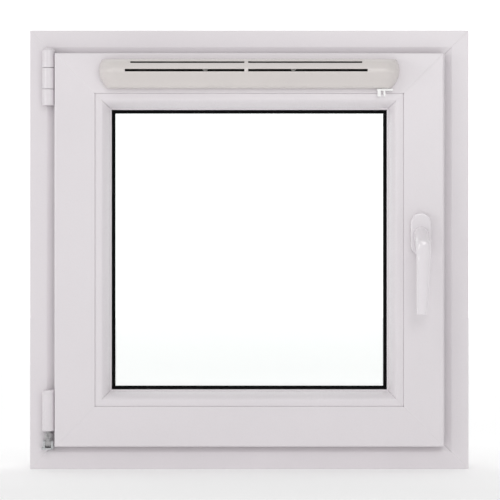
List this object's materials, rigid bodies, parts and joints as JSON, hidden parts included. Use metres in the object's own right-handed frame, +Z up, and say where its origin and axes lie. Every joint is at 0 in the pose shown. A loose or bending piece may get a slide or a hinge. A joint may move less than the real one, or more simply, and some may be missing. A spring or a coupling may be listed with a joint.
{
  "type": "tilt and turn window",
  "caption": "Small white tilt-and-turn window: outer frame, glazed sash with a lever handle, left-hand hinges and a slotted trickle vent in the top rail.",
  "frame": {"origin": "middle of the outer frame's underside, halfway through its depth", "axes": "+Z up, +X to the right seen from the room, +Y out of the building; the room is on the -Y side"},
  "size_m": [0.6, 0.14, 0.6],
  "materials": {
    "upvc_white": "satin",
    "vent_plastic": "satin",
    "hinge_white": "satin",
    "handle_white": "powder coat",
    "zinc_steel": "zinc plated",
    "box_steel": "galvanised",
    "gasket_black": "matt",
    "glass": "clear",
    "bearing_grey": "grey",
    "pin_steel": "dark",
    "spacer": "matt",
    "edge_sealant": "matt",
    "block_plastic": "matt",
    "mesh_dark": "matt",
    "tab_white": "gloss"
  },
  "bodies": {
    "frame": {"frame_head": "upvc_white", "frame_sill": "upvc_white", "frame_jamb_left": "upvc_white", "frame_jamb_right": "upvc_white", "frame_steel": "box_steel", "frame_gasket": "gasket_black", "drain_caps": "vent_plastic", "keepers": "zinc_steel", "keeper_screws": "zinc_steel", "stay_bearing": "hinge_white", "stay_pin": "hinge_white", "corner_bearing": "bearing_grey", "bearing_screws": "zinc_steel"},
    "corner_pin": {"corner_pin": "pin_steel"},
    "stay_band": {"stay_band": "hinge_white"},
    "handle": {"handle_lever": "handle_white", "handle_spindle": "zinc_steel", "gear_pinion": "zinc_steel"},
    "rod_side": {"rod_side": "zinc_steel", "cams_side": "zinc_steel"},
    "rod_top": {"rod_top": "zinc_steel", "cam_top": "zinc_steel"},
    "rod_bottom": {"rod_bottom": "zinc_steel", "cam_bottom": "zinc_steel"},
    "stay_shoe": {"stay_shoe": "zinc_steel"},
    "stay_arm": {"stay_arm": "zinc_steel"},
    "vent_flap": {"vent_flap": "vent_plastic"},
    "vent_tab": {"vent_tab": "tab_white"},
    "sash": {"sash_top": "upvc_white", "sash_bottom": "upvc_white", "sash_left": "upvc_white", "sash_right": "upvc_white", "sash_steel": "box_steel", "bead_top": "upvc_white", "bead_bottom": "upvc_white", "bead_left": "upvc_white", "bead_right": "upvc_white", "bead_gasket": "gasket_black", "outer_glazing_gasket": "gasket_black", "overlap_gasket": "gasket_black", "glass_inner": "glass", "glass_outer": "glass", "glass_spacer": "spacer", "edge_seal": "edge_sealant", "setting_blocks": "block_plastic", "corner_band": "zinc_steel", "corner_band_cover": "hinge_white", "sash_screws": "zinc_steel", "faceplates": "zinc_steel", "gearbox_case": "zinc_steel", "corner_drives": "zinc_steel", "rosette_base": "block_plastic", "rosette_cover": "handle_white", "rosette_screws": "zinc_steel", "vent_base": "vent_plastic", "vent_cover": "vent_plastic", "vent_ducts": "vent_plastic", "vent_hood": "vent_plastic", "insect_mesh": "mesh_dark"}
  },
  "joints": [
    {"name": "sash_tilt", "type": "hinge", "parent": "frame", "child": "corner_pin", "pos_m": [-0.274, -0.044, 0.036], "axis": [1, 0, 0], "range_deg": [0, 7.5]},
    {"name": "sash_turn", "type": "hinge", "parent": "corner_pin", "child": "sash", "pos_m": [-0.274, -0.044, 0.08], "axis": [0, 0, -1], "range_deg": [0, 90]},
    {"name": "stay_turn", "type": "hinge", "parent": "frame", "child": "stay_band", "pos_m": [-0.274, -0.044, 0.533], "axis": [0, 0, -1], "range_deg": [0, 90]},
    {"name": "handle_turn", "type": "hinge", "parent": "sash", "child": "handle", "pos_m": [0.233, -0.07, 0.3215], "axis": [0, 1, 0], "range_deg": [0, 180]},
    {"name": "rod_side_slide", "type": "slide", "parent": "sash", "child": "rod_side", "axis": [0, 0, -1], "range_m": [0, 0.022]},
    {"name": "rod_top_slide", "type": "slide", "parent": "sash", "child": "rod_top", "axis": [1, 0, 0], "range_m": [0, 0.022]},
    {"name": "rod_bottom_slide", "type": "slide", "parent": "sash", "child": "rod_bottom", "axis": [-1, 0, 0], "range_m": [0, 0.022]},
    {"name": "shoe_slide", "type": "slide", "parent": "sash", "child": "stay_shoe", "axis": [-1, 0, 0], "range_m": [0, 0.0064]},
    {"name": "stay_swing", "type": "hinge", "parent": "stay_shoe", "child": "stay_arm", "pos_m": [0.049, -0.021, 0.5536], "axis": [0, -0.0902, -0.9959], "range_deg": [0, 13]},
    {"name": "vent_slide", "type": "slide", "parent": "sash", "child": "vent_tab", "axis": [-1, 0, 0], "range_m": [0, 0.012]},
    {"name": "flap_turn", "type": "hinge", "parent": "sash", "child": "vent_flap", "pos_m": [0, -0.0576, 0.5365], "axis": [-1, 0, 0], "range_deg": [0, 50]}
  ],
  "couplings": [
    {"joint": "stay_turn", "follows": "sash_turn", "ratio": 1},
    {"joint": "rod_side_slide", "follows": "handle_turn", "m_per_rad": 0.007},
    {"joint": "rod_top_slide", "follows": "handle_turn", "m_per_rad": 0.007},
    {"joint": "rod_bottom_slide", "follows": "handle_turn", "m_per_rad": 0.007},
    {"joint": "shoe_slide", "follows": "sash_tilt", "m_per_rad": 0.04884},
    {"joint": "stay_swing", "follows": "sash_tilt", "ratio": 1.7238},
    {"joint": "flap_turn", "follows": "vent_slide", "rad_per_m": 72.7}
  ]
}
